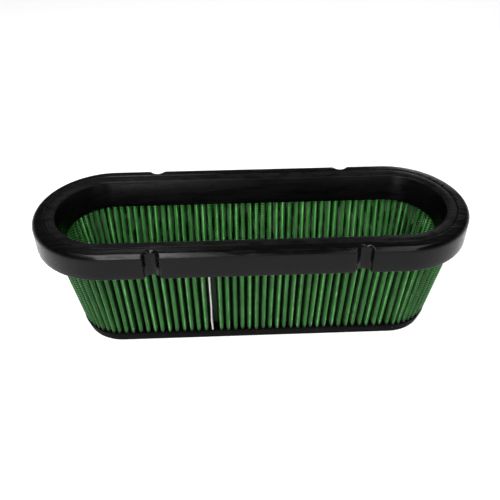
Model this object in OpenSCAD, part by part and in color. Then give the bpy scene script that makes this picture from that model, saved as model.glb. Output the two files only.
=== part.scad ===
// Obround pleated cotton-gauze air filter element: open seal rim at the top, closed base.
// X runs along the length, Y across the width, Z up. The base rests on Z = 0.
// The rim is centred on X = 0; the pleated pack and base sit a little to its right.

/* [Overall] */
// Outside length of the seal rim, mm
rim_len = 400; // [300:1:480]
// Outside width of the seal rim, mm
rim_wid = 137; // [110:1:180]
// Height from the rest face of the base to the top face of the rim, mm
total_h = 129; // [80:1:180]

/* [Seal rim] */
// Height of the moulded outer wall, mm
rim_h = 25.8; // [18:0.1:40]
// Width of the moulded band outside the collar, mm
rim_band = 11.2; // [8:0.1:16]
// Softening of the outer top edge, mm
edge_r = 4.6; // [1:0.1:6]
// Radius of the rounded locating notches, mm
notch_r = 7.3; // [4:0.1:9]
// Depth of the notches, mm
notch_depth = 6; // [3:0.1:8]
// Distance of each notch from the middle of the length, mm
notch_x = 91; // [50:1:120]
// Distance that the two front notches sit to the right of that, mm
notch_shift = 2.5; // [0:0.1:5]

/* [Collar] */
// Width of the collar band at the top face, mm
collar_band = 9.5; // [5:0.1:12]
// Depth of the collar below the top face, mm
collar_h = 24.9; // [20:0.2:45]
// Inward slope of the collar's inner wall over its depth, mm
collar_draft = 7; // [0:0.1:9]
// Chamfer on the two top edges of the collar, mm
collar_chamfer = 0.8; // [0.2:0.1:2]

/* [Pleated pack] */
// Distance that the pack and base sit to the right of the rim's middle, mm
pack_shift = 3; // [0:0.1:5]
// Number of pleats along the rear
rear_pleats = 39; // [20:1:48]
// Number of pleats along the front, left of the seam
left_pleats = 12; // [6:1:18]
// Number of pleats along the front, right of the seam
right_pleats = 25; // [12:1:30]
// Number of pleats round each rounded end
end_pleats = 23; // [14:1:26]
// Pleat depth from inner fold to outer fold, mm
pleat_depth = 11.6; // [7:0.1:16]
// Distance of the outer folds inside the rim wall at the rim, mm
tip_top = 12.3; // [6:0.1:16]
// Distance of the outer folds inside the rim wall at the base, mm
tip_base = 26.7; // [16:0.1:32]
// Thickness of each wire mesh layer, mm
mesh_t = 0.35; // [0.3:0.05:0.6]
// Thickness of each pair of cotton gauze plies, mm
gauze_t = 0.35; // [0.25:0.05:0.5]
// Length of pack moulded into the rim, mm
pot_top = 3; // [2:0.5:6]
// Length of pack moulded into the base, mm
pot_base = 6; // [3:0.5:8]

/* [Seam] */
// Position of the seam along the front of the pack, mm
seam_x = -43.7; // [-80:0.1:80]
// Clear width left of the seam, mm
seam_left = 2.5; // [2:0.1:6]
// Clear width right of the seam, mm
seam_right = 5.6; // [2:0.1:8]
// Thickness of the seam strip, mm
seam_t = 1.4; // [0.8:0.1:2]

/* [Base] */
// Height of the base ring, mm
base_h = 12.5; // [6:0.5:16]
// Distance of the base ring's top edge inside the rim wall, mm
base_in = 25.4; // [14:0.1:30]
// Extra distance at its bottom edge, mm
base_draft = 2.7; // [0:0.1:4]
// Width of the base ring at its top edge, mm
base_band = 15.2; // [12:0.1:20]
// Chamfer on the outer edges of the base ring, mm
base_chamfer = 1.5; // [0.5:0.1:3]
// Thickness of the closing plate, mm
plate_t = 2; // [1:0.1:3]
// Height of the underside of the closing plate, mm
plate_z = 2; // [1:0.1:4]
// Seating of the plate edge in the ring, mm
plate_seat = 2; // [1:0.1:3]

/* [Hidden] */
$fn = 96;

straight = (rim_len - rim_wid) / 2;
end_r = rim_wid / 2;
rim_z = total_h - rim_h;
pack_top = rim_z + pot_top;
pack_base = base_h - pot_base;
half_t = mesh_t + gauze_t;
shoulder_w = 0.23;
shoulder_d = 0.09;
slope = (tip_top - tip_base) / (rim_z - base_h);

rubber = [0.10, 0.10, 0.10];
plastic = [0.14, 0.14, 0.15];
green = [0.20, 0.42, 0.20];
cotton = [0.35, 0.55, 0.32];
white = [0.85, 0.86, 0.84];

// Inset of the outer folds from the rim wall at height z.
function fold_inset(z) = tip_base + slope * (z - base_h);

// Places along the path are [centre x, angle, depth], running anticlockwise from the front left.
// Depth is 0 at an outer fold and 1 at an inner fold.
phases = [[0, 1], [shoulder_w, 1 - shoulder_d], [0.5 - shoulder_w, shoulder_d],
          [0.5, 0], [0.5 + shoulder_w, shoulder_d], [1 - shoulder_w, 1 - shoulder_d]];

// Pleats laid evenly between two places along the path.
function run(x0, a0, x1, a1, n) = [
    for (i = [0:n - 1])
        for (p = phases)
            let (f = (i + p[0]) / n)
            [x0 + (x1 - x0) * f, a0 + (a1 - a0) * f, p[1]]
];

path = concat(
    run(-straight, -90, seam_x - seam_left, -90, left_pleats),
    [[seam_x - seam_left, -90, 1]],
    run(seam_x + seam_right, -90, straight, -90, right_pleats),
    run(straight, -90, straight, 90, end_pleats),
    run(straight, 90, -straight, 90, rear_pleats),
    run(-straight, 90, -straight, 270, end_pleats)
);
count = len(path);

// Middle line of the pack at height z.
function mid_line(z) = [
    for (p = path)
        let (r = end_r - fold_inset(z) - p[2] * pleat_depth)
        [pack_shift + p[0] + r * cos(p[1]), r * sin(p[1])]
];

function unit(v) = v / norm(v);

// Outward side of a path leg on an anticlockwise loop.
function side(a, b) = let (u = unit(b - a)) [u[1], -u[0]];

// Line at a steady distance d outside the middle line m.
function offset_line(m, d) = [
    for (i = [0:count - 1])
        let (n0 = side(m[(i + count - 1) % count], m[i]))
        let (n1 = side(m[i], m[(i + 1) % count]))
        m[i] + d * (n0 + n1) / (1 + n0 * n1)
];

function at_height(line, z) = [for (p = line) [p[0], p[1], z]];

// Two triangles across the four corners a, b, c, d.
function pair(a, b, c, d) = [[a, b, c], [a, c, d]];

// Corner numbers of ring k at place i: 0 outer top, 1 outer base, 2 inner top, 3 inner base.
function corner(k, i) = k * count + i % count;

// Triangles between rings a and b, place by place.
function wall(a, b) = [
    for (i = [0:count - 1])
        for (t = pair(corner(a, i), corner(b, i), corner(b, i + 1), corner(a, i + 1)))
            t
];

// One layer of the pack between two distances from the middle line.
module layer(d_out, d_in) {
    top = mid_line(pack_top);
    low = mid_line(pack_base);
    points = concat(
        at_height(offset_line(top, d_out), pack_top),
        at_height(offset_line(low, d_out), pack_base),
        at_height(offset_line(top, d_in), pack_top),
        at_height(offset_line(low, d_in), pack_base)
    );
    polyhedron(points, concat(wall(1, 0), wall(0, 2), wall(2, 3), wall(3, 1)), convexity = 12);
}

// Solid swept round the obround: children hold the section as [distance from centre line, height].
module round_sweep() {
    for (s = [-1, 1])
        translate([s * straight, 0, 0])
            rotate(s * 90 - 180)
                rotate_extrude(angle = 180)
                    children();
    for (s = [0, 180])
        rotate(s)
            translate([-straight, 0, 0])
                rotate([90, 0, 90])
                    linear_extrude(2 * straight)
                        children();
}

// Outer seal rim with a softened top edge.
module rim_section() {
    steps = 4;
    edge = [
        for (i = [0:steps])
            [end_r - edge_r + edge_r * cos(90 * i / steps),
             total_h - edge_r + edge_r * sin(90 * i / steps)]
    ];
    polygon(concat(
        [[end_r - rim_band, rim_z], [end_r, rim_z]],
        edge,
        [[end_r - rim_band, total_h]]
    ));
}

module seal_rim() {
    color(rubber)
        difference() {
            round_sweep()
                rim_section();
            for (sx = [-1, 1])
                for (sy = [-1, 1])
                    translate([
                        sx * notch_x + (1 - sy) / 2 * notch_shift,
                        sy * (end_r + notch_r - notch_depth),
                        rim_z - 1
                    ])
                        cylinder(r = notch_r, h = rim_h + 2);
        }
}

// Inner collar: its chamfers leave the parting groove beside the rim.
module collar() {
    out = end_r - rim_band;
    in = out - collar_band;
    low = in - collar_draft;
    c = collar_chamfer;
    color(plastic)
        round_sweep()
            polygon([
                [low, total_h - collar_h],
                [out, total_h - collar_h],
                [out, total_h - c],
                [out - c, total_h],
                [in + c, total_h],
                [in, total_h - c]
            ]);
}

module outer_mesh() {
    color(green)
        layer(half_t, gauze_t);
}

module gauze_outer() {
    color(cotton)
        layer(gauze_t, 0);
}

module gauze_inner() {
    color(cotton)
        layer(0, -gauze_t);
}

module inner_mesh() {
    color(green)
        layer(-gauze_t, -half_t);
}

// Thin upright strip standing in the seam gap, from the fold floor to the outer folds.
module seam_strip() {
    section = [
        for (z = [pack_base, pack_top])
            let (y_in = -(end_r - fold_inset(z) - pleat_depth + half_t))
            let (y_out = -(end_r - fold_inset(z) + half_t - 0.4))
            for (p = [[-1, y_out], [1, y_out], [1, y_in], [-1, y_in]])
                [pack_shift + seam_x + p[0] * seam_t / 2, p[1], z]
    ];
    color(white)
        polyhedron(section, [
            [0, 1, 2, 3], [7, 6, 5, 4], [0, 4, 5, 1], [1, 5, 6, 2], [2, 6, 7, 3], [3, 7, 4, 0]
        ]);
}

module base_ring() {
    out = end_r - base_in;
    foot = out - base_draft;
    in = out - base_band;
    c = base_chamfer;
    color(rubber)
        translate([pack_shift, 0, 0])
            round_sweep()
                polygon([
                    [in, 0],
                    [foot - c, 0],
                    [foot, c],
                    [out, base_h - c / 2],
                    [out - c / 2, base_h],
                    [in, base_h],
                    [in, plate_z + plate_t],
                    [in + plate_seat, plate_z + plate_t],
                    [in + plate_seat, plate_z],
                    [in, plate_z]
                ]);
}

module base_plate() {
    r = end_r - base_in - base_band + plate_seat;
    color(plastic)
        translate([pack_shift, 0, plate_z])
            linear_extrude(plate_t) {
                square([2 * straight, 2 * r], center = true);
                for (s = [-1, 1])
                    translate([s * straight, 0])
                        circle(r = r);
            }
}

seal_rim();
collar();
outer_mesh();
gauze_outer();
gauze_inner();
inner_mesh();
seam_strip();
base_ring();
base_plate();
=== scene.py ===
"""Looks of an obround pleated air filter element: moulded rim and collar, pleated green
wire mesh over cotton gauze, a white seam strip and a moulded base, on a pale floor.

The element's own lengths, and the weave on it, are in millimetres. Mesh points, noise, bumps,
lights and the floor are in metres."""

import math

import bpy
import numpy as np
from mathutils import Matrix, Vector


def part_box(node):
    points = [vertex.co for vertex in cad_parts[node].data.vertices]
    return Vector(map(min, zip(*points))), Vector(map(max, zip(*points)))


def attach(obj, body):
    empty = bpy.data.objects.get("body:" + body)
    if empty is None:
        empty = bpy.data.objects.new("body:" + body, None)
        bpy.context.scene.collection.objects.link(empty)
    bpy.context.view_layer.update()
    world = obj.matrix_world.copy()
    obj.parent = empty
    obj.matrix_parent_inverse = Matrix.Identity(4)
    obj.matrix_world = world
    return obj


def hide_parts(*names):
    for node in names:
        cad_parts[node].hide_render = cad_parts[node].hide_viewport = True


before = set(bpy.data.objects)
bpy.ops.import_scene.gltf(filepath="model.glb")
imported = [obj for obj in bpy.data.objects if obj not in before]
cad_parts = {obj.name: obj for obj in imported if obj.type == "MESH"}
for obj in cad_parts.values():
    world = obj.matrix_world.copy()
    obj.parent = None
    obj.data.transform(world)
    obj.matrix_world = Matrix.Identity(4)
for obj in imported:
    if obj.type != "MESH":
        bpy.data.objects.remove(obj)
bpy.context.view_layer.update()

MM = 0.001
QUARTER = math.pi / 2

# ---------------------------------------------------------------- sizes
# Measured on the frame.
RIM_LOW, RIM_HIGH = (np.array(corner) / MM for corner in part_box("seal_rim"))
PACK_FOOT, PACK_TOP = (corner[2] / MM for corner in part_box("outer_mesh"))
RIM_TOP = RIM_HIGH[2]
RIM_FOOT = RIM_LOW[2]
END_R = RIM_HIGH[1]
STRAIGHT = RIM_HIGH[0] - END_R  # half the length of the straight sides
COLLAR_DEPTH = RIM_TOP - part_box("collar")[0][2] / MM
BASE_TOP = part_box("base_ring")[1][2] / MM

# Rim. An inset is a distance inwards from the rim's outer wall.
BAND = 11.2  # width of the rim outside the collar
EDGE_R = 4.6  # rounding of the outer top edge
FOOT_R = 0.9  # rounding of the wall's lower edge
CROWN_SAG = 0.5  # fall of the top face towards the outer edge
CROWN_RUN = 9.0  # width over which it falls
CROWN_DEPTH = 6.0  # height of the part of the wall that falls with it
CROWN_LOSS = 0.6  # share of the fall that is lost at a notch

# Locating notches through the rim's wall.
NOTCH_R = 7.3
NOTCH_DEPTH = 6.0
NOTCH_X = 91.0
NOTCH_SHIFT = 2.5  # the front pair sits this far to the right
NOTCH_LIP = 1.3  # rounding where a notch meets the wall
NOTCH_EDGE = 3.0  # rounding of the top edge inside a notch
NOTCH_EASE = 3.0  # notch depth at which that rounding is reached
NOTCH_REACH = 14.0  # half the stretch of wall that a notch takes

# Collar and the parting line between it and the rim.
COLLAR_BAND = 9.5
COLLAR_DRAFT = 7.0
COLLAR_EDGE = 1.5  # rounding of the inner top edge
COLLAR_SAG = 0.55  # fall of the top face towards the opening
COLLAR_RUN = 4.5  # width over which it falls
GROOVE = 0.55  # rounding of the two edges along the parting line
SLOT = 0.28  # half the width of the parting line
SLOT_DEPTH = 3.5
SLOT_STEP = 0.1  # slope of its floor

# Pleated pack.
PACK_SHIFT = 3.0  # the pack and base sit this far to the right of the rim's middle
PLEAT_DEPTH = 11.6
TIP_TOP = 12.3  # inset of the outer folds at the rim
TIP_BASE = 26.7  # inset of the outer folds at the base
MESH_T = 0.35
GAUZE_T = 0.35
HALF_T = MESH_T + GAUZE_T  # gauze and wire mesh on one side of the middle surface
LEFT_PLEATS, RIGHT_PLEATS, END_PLEATS, REAR_PLEATS = 12, 25, 23, 39
SEAM_X = -43.7
GAP_START = SEAM_X - 2.5
GAP_END = SEAM_X + 5.6
SLANT = 1.012  # length along the tapered wall for each millimetre of height

# Shape of a fold, as shares of a pleat's pitch along the pack and of its depth across it.
FOLD_HALF = 0.145
FOLD_ROUND = 0.13
FOLD_LEAN = 0.03  # spread of the folds' places, separately at the rim and the base
FOLD_WANDER = 0.012  # waviness of a fold on its way up
FOLD_UNEVEN = 0.018  # spread of the folds' depths
FOLD_STEPS = 7
ROWS = 15

# The pleats of both long sides crowd a little to the left of the right-hand notches.
CROWD_X = 66.0
CROWD_REACH = 17.0
CROWD_SHIFT = -1.3

# Seam: the two bound edges of the pack, side by side.
SEAM_HALF = 0.7  # half the width of both together
SEAM_PROUD = 0.25  # how far the face stands outside the middle line of the outer folds
SEAM_ROUND = 0.45
SLIT_HALF = 0.12  # half the width of the slit between the two edges
SLIT_DEPTH = 0.3
SEAM_ROWS = 40

# Base ring.
BASE_IN = 25.4
BASE_DRAFT = 2.7
BASE_BAND = 15.2
BASE_FOOT_R = 1.6
BASE_EDGE_R = 0.9

# Textures.
WIRE_PITCH = 2.7
THREAD_PITCH = 0.5
CAST_GRAIN = 0.05 * MM  # height of the grain on the moulded pieces


# ---------------------------------------------------------------- mesh helpers
def smooth_piece(name, mesh, crisp_angle):
    """A smooth-shaded piece, whose edges stay crisp where they turn more than crisp_angle."""
    mesh.polygons.foreach_set("use_smooth", [True] * len(mesh.polygons))
    mesh.set_sharp_from_angle(angle=math.radians(crisp_angle))
    mesh.update()
    piece = bpy.data.objects.new(name, mesh)
    bpy.context.collection.objects.link(piece)
    return piece


def ring_mesh(name, points, maps=None):
    """A closed band: points[i][j] is corner j of the section at place i. Sections run up the
    outside and down the inside. maps holds, by name, (u of each place, v of each corner)."""
    count, corners = points.shape[:2]
    i, j = np.meshgrid(np.arange(count), np.arange(corners), indexing="ij")
    i_next, j_next = (i + 1) % count, (j + 1) % corners
    quads = np.stack(
        [i * corners + j, i_next * corners + j, i_next * corners + j_next, i * corners + j_next],
        axis=-1,
    ).reshape(-1, 4)
    mesh = bpy.data.meshes.new(name)
    mesh.from_pydata((points * MM).reshape(-1, 3).tolist(), [], quads.tolist())
    for title, (along, up) in (maps or {}).items():
        u = np.stack([along[i], along[i + 1], along[i + 1], along[i]], axis=-1)
        v = np.stack([up[j], up[j], up[j + 1], up[j + 1]], axis=-1)
        layer = mesh.uv_layers.new(name=title)
        layer.data.foreach_set("uv", np.stack([u, v], axis=-1).ravel())
    return smooth_piece(name, mesh, crisp_angle=38)


def place_point(centre_x, angle, inset, height):
    """Point on the obround at a distance inside the rim wall."""
    radius = END_R - inset
    x = centre_x + radius * np.cos(angle)
    y = radius * np.sin(angle)
    return np.stack([x, y, np.broadcast_to(height, np.shape(y))], axis=-1)


def plain_places(straight_steps=6, end_steps=72):
    """(centre x, angle) of places round the obround, anticlockwise from the front left."""
    places = []
    for start, stop, turn in ((-STRAIGHT, STRAIGHT, -QUARTER), (STRAIGHT, -STRAIGHT, QUARTER)):
        for x in np.linspace(start, stop, straight_steps, endpoint=False):
            places.append((x, turn))
        for angle in np.linspace(turn, turn + math.pi, end_steps, endpoint=False):
            places.append((stop, angle))
    return np.array(places)


def sweep(name, section, shift=0.0):
    """A band of one section, given as (inset, height) corners, round the obround."""
    places = plain_places()
    section = np.array(section)
    points = place_point(
        places[:, 0, None], places[:, 1, None], section[None, :, 0], section[None, :, 1]
    )
    points[..., 0] += shift
    return ring_mesh(name, points)


def arc(centre, radius, start, stop, steps=5):
    """Points on an arc, angles in degrees."""
    angles = np.radians(np.linspace(start, stop, steps))
    return [(centre[0] + radius * math.cos(a), centre[1] + radius * math.sin(a)) for a in angles]


# ---------------------------------------------------------------- rim, collar and base
def notch_outline():
    """(distance along the wall, depth) across one notch, with softened lips."""
    centre = NOTCH_DEPTH - NOTCH_R
    lip = NOTCH_LIP
    lip_x = math.sqrt((NOTCH_R + lip) ** 2 - (lip - centre) ** 2)
    turn = math.degrees(math.asin((lip - centre) / (NOTCH_R + lip)))
    left = arc((-lip_x, lip), lip, -90, -turn, 8)
    bowl = arc((0, centre), NOTCH_R, 180 - turn, turn, 25)[1:-1]
    right = arc((lip_x, lip), lip, 180 + turn, 270, 8)
    return left + bowl + right


def rim_places(end_steps=96):
    """(centre x, angle, notch depth) round the rim, anticlockwise from the front left."""
    places = []
    for side in (-1, 1):
        shift = NOTCH_SHIFT if side < 0 else 0
        left, right = shift - NOTCH_X, shift + NOTCH_X
        along = [(x, 0.0) for x in np.linspace(-STRAIGHT, left - NOTCH_REACH, 6)]
        along += [(left + t, depth) for t, depth in notch_outline()]
        along += [(x, 0.0) for x in np.linspace(left + NOTCH_REACH, right - NOTCH_REACH, 24)]
        along += [(right + t, depth) for t, depth in notch_outline()]
        along += [(x, 0.0) for x in np.linspace(right + NOTCH_REACH, STRAIGHT, 6)[:-1]]
        turn = side * QUARTER
        places += [(-side * x, turn, depth) for x, depth in along]
        for angle in np.linspace(turn, turn + math.pi, end_steps, endpoint=False):
            places.append((-side * STRAIGHT, angle, 0.0))
    return np.array(places)


def crowned(inset, height, notched):
    """Height of a corner after the top face's fall towards the edge, which is less at a notch."""
    if height <= RIM_TOP - CROWN_DEPTH:
        return height
    sag = CROWN_SAG * (1 - CROWN_LOSS * notched)
    return height - sag * max(1 - inset / CROWN_RUN, 0) ** 1.5


def rim_section(notch):
    """Section corners, as (inset, height), where the wall is cut back by notch."""
    notched = min(notch / NOTCH_EASE, 1.0)
    edge = EDGE_R + (NOTCH_EDGE - EDGE_R) * notched * notched * (3 - 2 * notched)
    side = BAND - SLOT
    corners = [(BAND, RIM_FOOT), (notch + FOOT_R + 1, RIM_FOOT)]
    corners += arc((notch + FOOT_R, RIM_FOOT + FOOT_R), FOOT_R, 270, 180)
    corners += [(notch, RIM_FOOT + rise) for rise in (6, 12, 18)]
    corners += arc((notch + edge, RIM_TOP - edge), edge, 180, 90, 14)
    corners += [(x, RIM_TOP) for x in np.linspace(notch + edge, side - GROOVE, 6)[1:-1]]
    corners += arc((side - GROOVE, RIM_TOP - GROOVE), GROOVE, 90, 0)
    corners += [(side, RIM_TOP - SLOT_DEPTH)]
    corners += [(BAND, RIM_TOP - drop) for drop in (SLOT_DEPTH + SLOT_STEP, 16)]
    return [(inset, crowned(inset, height, notched)) for inset, height in corners]


def make_rim():
    points = np.array(
        [
            [place_point(x, angle, inset, height) for inset, height in rim_section(notch)]
            for x, angle, notch in rim_places()
        ]
    )
    return ring_mesh("seal_rim_moulding", points)


def make_collar():
    """Collar section: up beside the parting line, over the top face, down the drafted wall."""
    side = BAND + SLOT
    inner = BAND + COLLAR_BAND
    lip = inner - COLLAR_EDGE
    low = RIM_TOP - COLLAR_DEPTH
    section = [(BAND, RIM_TOP - drop) for drop in (COLLAR_DEPTH, 12, SLOT_DEPTH + SLOT_STEP)]
    section += [(side, RIM_TOP - SLOT_DEPTH)]
    section += arc((side + GROOVE, RIM_TOP - GROOVE), GROOVE, 180, 90)
    for t in np.linspace(0, 1, 5):
        section.append((lip - COLLAR_RUN * (1 - t), RIM_TOP - COLLAR_SAG * t * t))
    # The rounding starts at the slope on which the falling top face ends.
    turn = QUARTER - math.atan(2 * COLLAR_SAG / COLLAR_RUN)
    centre = (
        lip - COLLAR_EDGE * math.cos(turn),
        RIM_TOP - COLLAR_SAG - COLLAR_EDGE * math.sin(turn),
    )
    section += arc(centre, COLLAR_EDGE, math.degrees(turn), 14, 8)[1:]
    wall_top = RIM_TOP - COLLAR_EDGE - COLLAR_SAG
    # Rows down the wall stand close to its two ends, which keeps their roundings tight.
    for t in (0.08, 0.35, 0.7, 0.97):
        section.append((inner + COLLAR_DRAFT * t, wall_top + (low - wall_top) * t))
    section += [(inner + COLLAR_DRAFT - 0.5, low)]
    return sweep("collar_ring", section)


def make_base():
    """Base ring section: under the foot, up the outside, over the top face, down the inside."""
    foot = BASE_IN + BASE_DRAFT
    inner = BASE_IN + BASE_BAND
    section = [(inner, 0.6), (inner - 0.6, 0)]
    section += arc((foot + BASE_FOOT_R, BASE_FOOT_R), BASE_FOOT_R, 270, 190, 6)
    section += [(BASE_IN + 0.3, BASE_TOP - 2.2)]
    section += arc((BASE_IN + 1, BASE_TOP - BASE_EDGE_R), BASE_EDGE_R, 170, 90)
    section += [(inner - 0.9, BASE_TOP), (inner - 0.2, BASE_TOP - 0.3), (inner, BASE_TOP - 1)]
    return sweep("base_ring_moulding", section, PACK_SHIFT)


# ---------------------------------------------------------------- pleats
def fold_inset(height):
    """Distance of the outer folds inside the rim wall at a height."""
    return TIP_BASE + (TIP_TOP - TIP_BASE) * (height - BASE_TOP) / (RIM_FOOT - BASE_TOP)


def folds():
    """Every fold round the pack: (centre x, angle, step in x, step in angle, 0 outer or 1 inner).
    The steps are those of one pleat, so a fold can be moved or spread along the path."""
    runs = (
        (-STRAIGHT, -QUARTER, GAP_START, -QUARTER, LEFT_PLEATS),
        (GAP_END, -QUARTER, STRAIGHT, -QUARTER, RIGHT_PLEATS),
        (STRAIGHT, -QUARTER, STRAIGHT, QUARTER, END_PLEATS),
        (STRAIGHT, QUARTER, -STRAIGHT, QUARTER, REAR_PLEATS),
        (-STRAIGHT, QUARTER, -STRAIGHT, 3 * QUARTER, END_PLEATS),
    )
    found = []
    for x0, a0, x1, a1, n in runs:
        dx, da = (x1 - x0) / n, (a1 - a0) / n
        for k in range(n):
            found.append((x0 + dx * k, a0 + da * k, dx, da, 1))
            found.append((x0 + dx * (k + 0.5), a0 + da * (k + 0.5), dx, da, 0))
        if x1 == GAP_START:
            found.append((x1, a1, dx, da, 1))
    return np.array(found)


def mid_surface():
    """Middle surface of the pack: the plan of each row of places, the height of each row, and
    how deep each place lies in its pleat, from 0 at an outer fold to 1 at an inner one.
    Each fold is hand-made: it leans, wanders and sits a little deeper or shallower."""
    rng = np.random.default_rng(11)
    fold = folds()
    count = len(fold)
    shift_top, shift_low = rng.normal(0, FOLD_LEAN, (2, count)).clip(-0.07, 0.07)
    wave = rng.uniform(0, 2 * math.pi, count)
    deeper = rng.normal(0, FOLD_UNEVEN, count).clip(-0.03, 0.03)
    crowd = CROWD_SHIFT * np.exp(-(((fold[:, 0] - CROWD_X) / CROWD_REACH) ** 2))
    fold[:, 0] += crowd * (np.abs(fold[:, 0]) < STRAIGHT)
    centre_x, angle, step_x, step_angle, inner = fold.T[:, :, None]
    turns = np.radians(np.linspace(-90, 90, FOLD_STEPS))
    rounding = FOLD_ROUND * (1 - np.cos(turns))[None, :]
    depth = np.where(inner > 0.5, 1 - rounding, rounding)
    heights = np.linspace(PACK_FOOT, PACK_TOP, ROWS)
    rows = []
    for z, t in zip(heights, np.linspace(0, 1, ROWS)):
        shift = shift_low + (shift_top - shift_low) * t + FOLD_WANDER * np.sin(5 * t + wave)
        phase = shift[:, None] + FOLD_HALF * np.sin(turns)[None, :]
        x = centre_x + step_x * phase
        a = angle + step_angle * phase
        inset = fold_inset(z) + (depth + deeper[:, None] * (1 - t * t)) * PLEAT_DEPTH
        plan = place_point(x.ravel(), a.ravel(), inset.ravel(), z)[:, :2]
        rows.append(plan + [PACK_SHIFT, 0])
    return np.array(rows), heights, depth.ravel()


MID, HEIGHTS, DEPTHS = mid_surface()


def offset_rows(distance):
    """The middle surface moved outwards by a distance, row by row."""
    ahead = np.roll(MID, -1, axis=1) - MID
    ahead /= np.linalg.norm(ahead, axis=2, keepdims=True)
    behind = np.roll(ahead, 1, axis=1)
    normal = np.stack([ahead[..., 1], -ahead[..., 0]], axis=-1)
    normal_behind = np.stack([behind[..., 1], -behind[..., 0]], axis=-1)
    both = normal + normal_behind
    share = 1 + (normal * normal_behind).sum(axis=2, keepdims=True)
    plan = MID + distance * both / share
    height = np.broadcast_to(HEIGHTS[:, None, None], plan.shape[:2] + (1,))
    return np.concatenate([plan, height], axis=2)


def make_layer(name, outer, inner):
    """One closed pleated layer between two distances from the middle surface. Its weave map
    runs along and up the folded sheet in millimetres, its fold map holds depth and height."""
    points = np.concatenate([offset_rows(outer), offset_rows(inner)[::-1]], axis=0)
    middle = MID[ROWS // 2]
    steps = np.linalg.norm(np.roll(middle, -1, axis=0) - middle, axis=1)
    along = np.concatenate([[0], np.cumsum(steps)])
    up = np.concatenate([HEIGHTS, HEIGHTS[::-1], HEIGHTS[:1]])
    depth = np.append(DEPTHS, DEPTHS[0])
    maps = {"weave": (along, up * SLANT), "fold": (depth, up)}
    return ring_mesh(name, points.transpose(1, 0, 2), maps)


def seam_loop(height):
    """Outline of the seam at a height, as (x, y), with a slit down the middle of its face."""
    outer_fold = END_R - fold_inset(height)
    face = -outer_fold - SEAM_PROUD
    floor = -outer_fold + PLEAT_DEPTH + 0.4
    half = SEAM_HALF
    left = [(-half, floor), (-half, face + 3), (-half, face + SEAM_ROUND)]
    left += [(-half + 0.25, face), (-SLIT_HALF, face + 0.05)]
    right = [(-x, y) for x, y in reversed(left)]
    return left + [(0, face + SLIT_DEPTH)] + right


def make_seam():
    """The two bound edges of the pack, standing side by side in the seam gap."""
    rng = np.random.default_rng(3)
    heights = np.linspace(PACK_FOOT + 1, PACK_TOP - 1, SEAM_ROWS)
    knots = heights[::8]
    lean = np.interp(heights, knots, rng.normal(0, 0.18, len(knots)))
    points = np.array(
        [
            [(PACK_SHIFT + SEAM_X + shift + x, y, z) for x, y in seam_loop(z)]
            for z, shift in zip(heights, lean)
        ]
    )
    corners = points.shape[1]
    faces = []
    for row in range(SEAM_ROWS - 1):
        low, high = row * corners, (row + 1) * corners
        for c in range(corners):
            after = (c + 1) % corners
            faces.append([high + c, high + after, low + after, low + c])
    last = (SEAM_ROWS - 1) * corners
    faces += [list(range(corners)), list(range(last, last + corners))[::-1]]
    mesh = bpy.data.meshes.new("seam_binding")
    mesh.from_pydata((points * MM).reshape(-1, 3).tolist(), [], faces)
    return smooth_piece("seam_binding", mesh, crisp_angle=50)


# ---------------------------------------------------------------- materials
def grey(tone):
    return (tone, tone, tone)


def times(color, factor):
    return tuple(c * factor for c in color)


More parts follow.
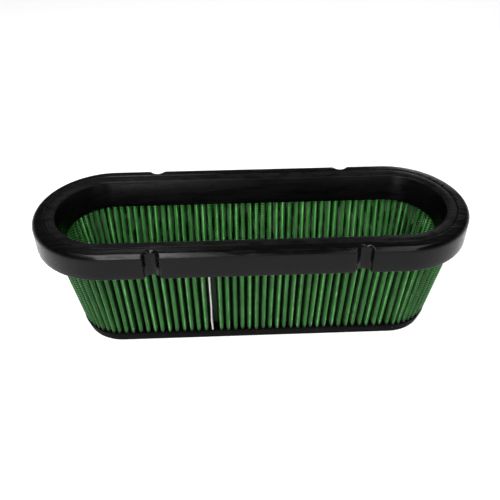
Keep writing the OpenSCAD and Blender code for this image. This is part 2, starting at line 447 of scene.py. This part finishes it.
class Nodes:
    """A short way to write a material's node tree."""

    def __init__(self, name):
        self.material = bpy.data.materials.new(name)
        self.material.use_nodes = True
        self.tree = self.material.node_tree
        self.shader = self.tree.nodes["Principled BSDF"]

    def add(self, kind, **settings):
        node = self.tree.nodes.new("ShaderNode" + kind)
        for key, value in settings.items():
            setattr(node, key, value)
        return node

    def link(self, source, target):
        self.tree.links.new(source, target)

    def feed(self, value, socket):
        """A number goes on the socket; a socket is linked to it."""
        if isinstance(value, bpy.types.NodeSocket):
            self.link(value, socket)
        else:
            socket.default_value = value

    def constant(self, title, value):
        """A shader setting that is the same all over the surface."""
        self.shader.inputs[title].default_value = value

    def math(self, operation, a, b=0.0):
        node = self.add("Math", operation=operation)
        self.feed(a, node.inputs[0])
        self.feed(b, node.inputs[1])
        return node.outputs[0]

    def ramp(self, value, low, high, to_low=0.0, to_high=1.0):
        """An eased step from to_low, where value is low, to to_high, where it is high."""
        node = self.add("MapRange", interpolation_type="SMOOTHSTEP")
        self.feed(value, node.inputs["Value"])
        for title, number in zip(
            ("From Min", "From Max", "To Min", "To Max"), (low, high, to_low, to_high)
        ):
            node.inputs[title].default_value = number
        return node.outputs["Result"]

    def noise(self, scale, detail=4.0, stretch=(1, 1, 1), rough=0.55):
        mapping = self.add("Mapping")
        mapping.inputs["Scale"].default_value = stretch
        node = self.add("TexNoise")
        node.inputs["Scale"].default_value = scale
        node.inputs["Detail"].default_value = detail
        node.inputs["Roughness"].default_value = rough
        self.link(self.add("TexCoord").outputs["Object"], mapping.inputs["Vector"])
        self.link(mapping.outputs["Vector"], node.inputs["Vector"])
        return node.outputs["Fac"]

    def parts(self, source):
        """The X, Y and Z outputs of a vector."""
        node = self.add("SeparateXYZ")
        self.link(source, node.inputs[0])
        return node.outputs

    def uv(self, title):
        return self.parts(self.add("UVMap", uv_map=title).outputs["UV"])

    def place(self):
        return self.parts(self.add("TexCoord").outputs["Object"])

    def blend(self, factor, a, b):
        node = self.add("Mix", data_type="RGBA")
        self.feed(factor, node.inputs["Factor"])
        for value, socket in ((a, node.inputs["A"]), (b, node.inputs["B"])):
            self.feed(value if isinstance(value, bpy.types.NodeSocket) else (*value, 1), socket)
        return node.outputs["Result"]

    def brighten(self, color, factor):
        node = self.add("VectorMath", operation="SCALE")
        self.link(color, node.inputs[0])
        self.link(factor, node.inputs["Scale"])
        return node.outputs[0]

    def bump(self, height, distance, strength=1.0, after=None):
        node = self.add("Bump")
        node.inputs["Strength"].default_value = strength
        node.inputs["Distance"].default_value = distance
        self.link(height, node.inputs["Height"])
        if after is not None:
            self.link(after, node.inputs["Normal"])
        return node.outputs["Normal"]

    def surface(self, color, roughness, normal=None):
        self.feed(color, self.shader.inputs["Base Color"])
        self.feed(roughness, self.shader.inputs["Roughness"])
        if normal is not None:
            self.feed(normal, self.shader.inputs["Normal"])
        return self.material


def moulded(name, tones, roughness, gloss, dust_and_sheen=None):
    """Cast black polyurethane: fine grain, cloudy tone, and streaks of uneven gloss. The last
    argument, where given, is the paler tone of the top face in patches: painted sheen, partly dust."""
    n = Nodes(name)
    cloud = n.ramp(n.noise(22, 5), 0.3, 0.7)
    color = n.blend(cloud, grey(tones[0]), grey(tones[1]))
    if dust_and_sheen is not None:
        # Painted sheen: the top face is paler in patches, partly dust.
        top = n.ramp(n.place()["Z"], (RIM_TOP - 2.5) * MM, (RIM_TOP - 0.8) * MM)
        patchy = n.ramp(n.noise(160, 4, (0.5, 1, 1)), 0.3, 0.7, 0.2, 1)
        color = n.blend(n.math("MULTIPLY", top, patchy), color, grey(dust_and_sheen))
    streak = n.ramp(n.noise(240, 5, (0.12, 1, 1), 0.65), 0.36, 0.64)
    normal = n.bump(n.noise(1500, 3), CAST_GRAIN, 0.6)
    normal = n.bump(n.noise(95, 3, (0.4, 1, 1)), CAST_GRAIN * 3, 0.5, normal)
    n.constant("Specular IOR Level", gloss)
    return n.surface(color, n.ramp(streak, 0, 1, *roughness), normal)


def shaded_fold(n, outside, color):
    """Painted shade: the fold floors are darker, with some oil, the pack darkens towards its foot,
    and the folds round its ends are darker. On the outside the inner folds are the floors, and on
    the inside the outer folds are."""
    fold = n.uv("fold")
    # Painted shade on the fold floors, with some oil.
    if outside:
        deep = n.ramp(fold["X"], 0.03, 0.5, 1, 0.1)
    else:
        deep = n.ramp(fold["X"], 0.9, 0.42, 1, 0.18)
    # Painted shade towards the foot of the pack.
    foot = n.ramp(fold["Y"], BASE_TOP + 0.5, BASE_TOP + 5, 0.25, 1)
    # Painted shade on the folds round the two ends.
    from_middle = n.math("ABSOLUTE", n.math("SUBTRACT", n.place()["X"], PACK_SHIFT * MM))
    ends = n.ramp(from_middle, (STRAIGHT - 8) * MM, (STRAIGHT + 27) * MM, 1, 0.6)
    return n.brighten(color, n.math("MULTIPLY", n.math("MULTIPLY", deep, foot), ends))


def painted_tip_highlight(n, outside, tip_highlight, color):
    """Painted highlight: the fold tips on the mesh's own side are brightened, up to the given
    factor.
    """
    fold = n.uv("fold")
    low, high = (0.25, 0) if outside else (0.75, 1)
    return n.brighten(color, n.ramp(fold["X"], low, high, 1, tip_highlight))


def painted_crossing_glints(n, share, across, along, color):
    """Painted glints: pale spots on the crossings on the flanks of the folds, in patches, stand in
    for light the wires catch. across and along are the distances from the nearest wires."""
    fold = n.uv("fold")
    spot = n.math("MULTIPLY", n.ramp(across, 0.5, 0.9, 1, 0), n.ramp(along, 0.45, 0.85, 1, 0))
    flank = n.math(
        "MULTIPLY", n.ramp(fold["X"], 0.02, 0.14), n.ramp(fold["X"], 0.7, 0.85, 1, 0)
    )
    glints = n.ramp(n.noise(60, 3, (3, 1, 1)), 0.56 - share, 0.62 - share)
    shine = n.math("MULTIPLY", n.math("MULTIPLY", spot, flank), glints)
    # The pale green spot colour is a painted highlight.
    return n.blend(shine, color, (0.6, 0.95, 0.55))


def wire_coat(n, wire, crossing):
    """Green coating: cloudy, with dull patches, and crossings paler in patches: partly worn
    coating, partly painted glints.
    """
    cloud = n.ramp(n.noise(90, 4), 0.3, 0.7)
    coat = n.blend(cloud, times(wire, 0.8), times(wire, 1.15))
    bright = n.ramp(n.noise(150, 3, (1, 1, 0.12)), 0.35, 0.65)
    coat = n.blend(bright, n.blend(0.35, coat, (0, 0, 0)), coat)
    # Paler crossings: painted glints, partly worn coating.
    wear_and_glint = n.ramp(n.noise(350, 2, (1, 1, 0.4)), 0.5, 0.6)
    pale = tuple(min(c * 1.6 + 0.2, 0.8) for c in wire)
    return n.blend(n.math("MULTIPLY", crossing, wear_and_glint), coat, pale)


def wire_mesh(name, outside, wire, hole, tip_highlight, glints=0):
    """Coated woven wire over green gauze. The weave runs with the folds of the pack. The two last
    arguments set the painted highlight on the fold tips and how many crossings carry painted
    glints."""
    n = Nodes(name)
    weave = n.uv("weave")
    across = n.math("PINGPONG", weave["X"], WIRE_PITCH / 2)
    along = n.math("PINGPONG", weave["Y"], WIRE_PITCH / 2)
    upright = n.ramp(across, 0.22, 0.5, 0.85, 0)
    level = n.ramp(along, 0.28, 0.62, 1, 0)
    # Each wire goes over one neighbour and under the next.
    wave = [
        n.math("COSINE", n.math("MULTIPLY", weave[axis], math.pi / WIRE_PITCH)) for axis in "XY"
    ]
    cross = n.math("MULTIPLY", n.math("MULTIPLY", *wave), 0.35)
    over = n.math("MULTIPLY", upright, n.math("ADD", 0.75, cross))
    under = n.math("MULTIPLY", level, n.math("SUBTRACT", 0.75, cross))
    height = n.math("MAXIMUM", over, under)
    wires = n.math("MAXIMUM", upright, level)
    fibre = n.noise(2600, 3)
    cloth = n.blend(fibre, times(hole, 0.55), times(hole, 1.35))
    coat = wire_coat(n, wire, n.math("MULTIPLY", upright, level))
    color = shaded_fold(n, outside, n.blend(wires, cloth, coat))
    # Painted highlight on the fold tips.
    color = painted_tip_highlight(n, outside, tip_highlight, color)
    # Painted glints on the crossings.
    if glints:
        color = painted_crossing_glints(n, glints, across, along, color)
    normal = n.bump(fibre, 0.00008, 0.5)
    normal = n.bump(height, 0.00035, 0.9, normal)
    n.constant("Specular IOR Level", 0.2)
    return n.surface(color, n.ramp(wires, 0, 1, 0.8, 0.42), normal)


def woven(name, dark, light):
    """Cotton gauze: crossed threads with loose fibres."""
    n = Nodes(name)
    weave = n.uv("weave")
    half = THREAD_PITCH / 2
    warp, weft = (n.ramp(n.math("PINGPONG", weave[axis], half), 0, half) for axis in "XY")
    threads = n.math("MAXIMUM", warp, weft)
    tone = n.math("MULTIPLY", threads, n.noise(3000, 4))
    n.constant("Sheen Weight", 0.25)
    return n.surface(n.blend(tone, dark, light), 0.85, n.bump(threads, 0.00012, 0.6))


def binding(name):
    """White bonded edge: matt, fibrous, with a little green oil worked in."""
    n = Nodes(name)
    fibre = n.noise(1200, 5, (1, 1, 0.25))
    stain = n.ramp(n.noise(130, 4), 0.5, 0.72)
    cotton = n.blend(fibre, (0.3, 0.31, 0.29), (0.52, 0.53, 0.5))
    color = n.blend(stain, cotton, (0.24, 0.3, 0.22))
    return n.surface(color, 0.8, n.bump(fibre, 0.00015, 0.7))


def floor_finish():
    """White lightbox top: it glows a little, so shadows on it stay faint."""
    n = Nodes("studio_floor")
    tone = n.ramp(n.noise(3, 3), 0.2, 0.8)
    n.constant("Emission Color", (1, 1, 1, 1))
    n.constant("Emission Strength", 0.66)
    return n.surface(n.blend(tone, grey(0.5), grey(0.52)), 0.8)


# ---------------------------------------------------------------- pieces
def stand_for(piece, node, material):
    piece.data.materials.append(material)
    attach(piece, "root")
    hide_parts(node)


rim_black = moulded("rim_polyurethane", (0.0006, 0.0014), (0.13, 0.3), 0.125)
# The collar's top face gets a paler tone in patches: painted sheen, partly dust.
collar_black = moulded("collar_moulding", (0.0005, 0.001), (0.24, 0.36), 0.05, dust_and_sheen=0.006)
base_black = moulded("base_polyurethane", (0.0007, 0.0014), (0.45, 0.6), 0.02)
plate_black = moulded("plate_moulding", (0.005, 0.008), (0.5, 0.65), 0.2)
# One coated wire mesh in two copies: the inner copy is about twice as bright, painted light on the
# inside of the pack.
outer_green = wire_mesh(
    "coated_wire_mesh_outer", True, (0.049, 0.23, 0.045), (0.006, 0.042, 0.006), 1.05
)
# Inner copy: brighter, painted light.
inner_green_painted_light = wire_mesh(
    "coated_wire_mesh_inner_painted_light", False, (0.1, 0.44, 0.095), (0.006, 0.035, 0.006), 1.3, glints=0.1
)
gauze_green = woven("oiled_cotton_gauze", (0.015, 0.07, 0.015), (0.04, 0.16, 0.04))

stand_for(make_rim(), "seal_rim", rim_black)
stand_for(make_collar(), "collar", collar_black)
stand_for(make_base(), "base_ring", base_black)
for layer_name, node, slot, outer, inner, finish in (
    ("outer_mesh_pleats", "outer_mesh", "mesh_green", HALF_T, GAUZE_T, outer_green),
    ("outer_gauze_pleats", "gauze_outer", "gauze_green", GAUZE_T, 0, gauze_green),
    ("inner_gauze_pleats", "gauze_inner", "gauze_green", 0, -GAUZE_T, gauze_green),
    ("inner_mesh_pleats", "inner_mesh", "mesh_green", -GAUZE_T, -HALF_T, inner_green_painted_light),
):
    stand_for(make_layer(layer_name, outer, inner), node, finish)
stand_for(make_seam(), "seam_strip", binding("seam_binding_cotton"))

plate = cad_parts["base_plate"]
plate.data.materials.clear()
plate.data.materials.append(plate_black)


# ---------------------------------------------------------------- studio
FLOOR_HALF = 6.0
FLOOR_GAP = 0.0002  # keeps the floor just clear of the base's rest face
STRIP_WIDTH = 0.32
STRIP_LEFT, STRIP_RIGHT = -0.3, 0.52
CEILING = 1.1
FILL_PLACE = (0.75, 1.5, 0.7)
FILL_TARGET = (0.1, 0, 0.12)


def make_floor():
    mesh = bpy.data.meshes.new("floor")
    corners = [(x * FLOOR_HALF, y * FLOOR_HALF, 0) for x, y in ((-1, -1), (1, -1), (1, 1), (-1, 1))]
    mesh.from_pydata(corners, [], [(0, 1, 2, 3)])
    piece = bpy.data.objects.new("floor", mesh)
    piece.location.z = -FLOOR_GAP
    bpy.context.collection.objects.link(piece)
    piece.data.materials.append(floor_finish())


def make_world():
    """Studio walls that are white at floor level and dim higher up."""
    world = bpy.data.worlds.new("studio")
    world.use_nodes = True
    tree = world.node_tree
    coords = tree.nodes.new("ShaderNodeTexCoord")
    split = tree.nodes.new("ShaderNodeSeparateXYZ")
    fade = tree.nodes.new("ShaderNodeMapRange")
    fade.interpolation_type = "SMOOTHSTEP"
    for title, number in (
        ("From Min", 0.03), ("From Max", 0.25), ("To Min", 1.0), ("To Max", 0.12)
    ):
        fade.inputs[title].default_value = number
    background = tree.nodes["Background"]
    background.inputs["Color"].default_value = (1, 1, 1, 1)
    tree.links.new(coords.outputs["Generated"], split.inputs[0])
    tree.links.new(split.outputs["Z"], fade.inputs["Value"])
    tree.links.new(fade.outputs["Result"], background.inputs["Strength"])
    bpy.context.scene.world = world


def area_light(name, place, target, size, power):
    light = bpy.data.lights.new(name, "AREA")
    light.shape = "RECTANGLE"
    light.size, light.size_y = size
    light.energy = power
    lamp = bpy.data.objects.new(name, light)
    lamp.location = place
    aim = Vector(target) - Vector(place)
    lamp.rotation_euler = aim.to_track_quat("-Z", "Y").to_euler()
    bpy.context.collection.objects.link(lamp)


def strip(name, x, start, stop, radiance):
    """A strip box at one x, between two (y, z) edges, that shines towards the object."""
    start, stop = np.array(start), np.array(stop)
    y, z = (start + stop) / 2
    length = float(np.linalg.norm(stop - start))
    along = (stop - start) / length
    target = (x, y + along[1], z - along[0])
    power = radiance * math.pi * STRIP_WIDTH * length
    area_light(name, (x, y, z), target, (STRIP_WIDTH, length), power)


def make_lights():
    """Two long strip boxes arch over the front, and two smaller lights fill from behind."""
    for name, x, radiance in (("left", STRIP_LEFT, 15.0), ("right", STRIP_RIGHT, 4.6)):
        strip(name + "_overhead", x, (-0.95, CEILING), (0.2, CEILING), radiance)
        strip(name + "_front", x, (-1.5, 0.3), (-0.98, CEILING - 0.03), radiance)
    strip("left_rear", STRIP_LEFT, (0.8, CEILING), (1.4, CEILING), 1.3)
    area_light("rear_right", FILL_PLACE, FILL_TARGET, (0.35, 0.3), 1.5)


def make_camera():
    """A camera above the front of the element, turned by its heading, tilt and roll."""
    place = Vector((-21.1, -478.7, 460.0)) * MM
    heading, tilt, roll = 0.0396, 0.6738, -0.0043
    level = Vector((math.sin(heading), math.cos(heading), 0))
    ahead = level * math.cos(tilt) - Vector((0, 0, math.sin(tilt)))
    right = Vector((math.cos(heading), -math.sin(heading), 0))
    up = right.cross(ahead)
    right_rolled = right * math.cos(roll) + up * math.sin(roll)
    up_rolled = up * math.cos(roll) - right * math.sin(roll)
    data = bpy.data.cameras.new("camera")
    data.sensor_width = 36
    data.lens = 45.504
    data.clip_start = 0.01
    camera = bpy.data.objects.new("camera", data)
    turn = Matrix((right_rolled, up_rolled, -ahead)).transposed().to_4x4()
    camera.matrix_world = Matrix.Translation(place) @ turn
    bpy.context.collection.objects.link(camera)
    bpy.context.scene.camera = camera


make_floor()
make_world()
make_lights()
make_camera()
bpy.context.scene.view_settings.view_transform = "Standard"
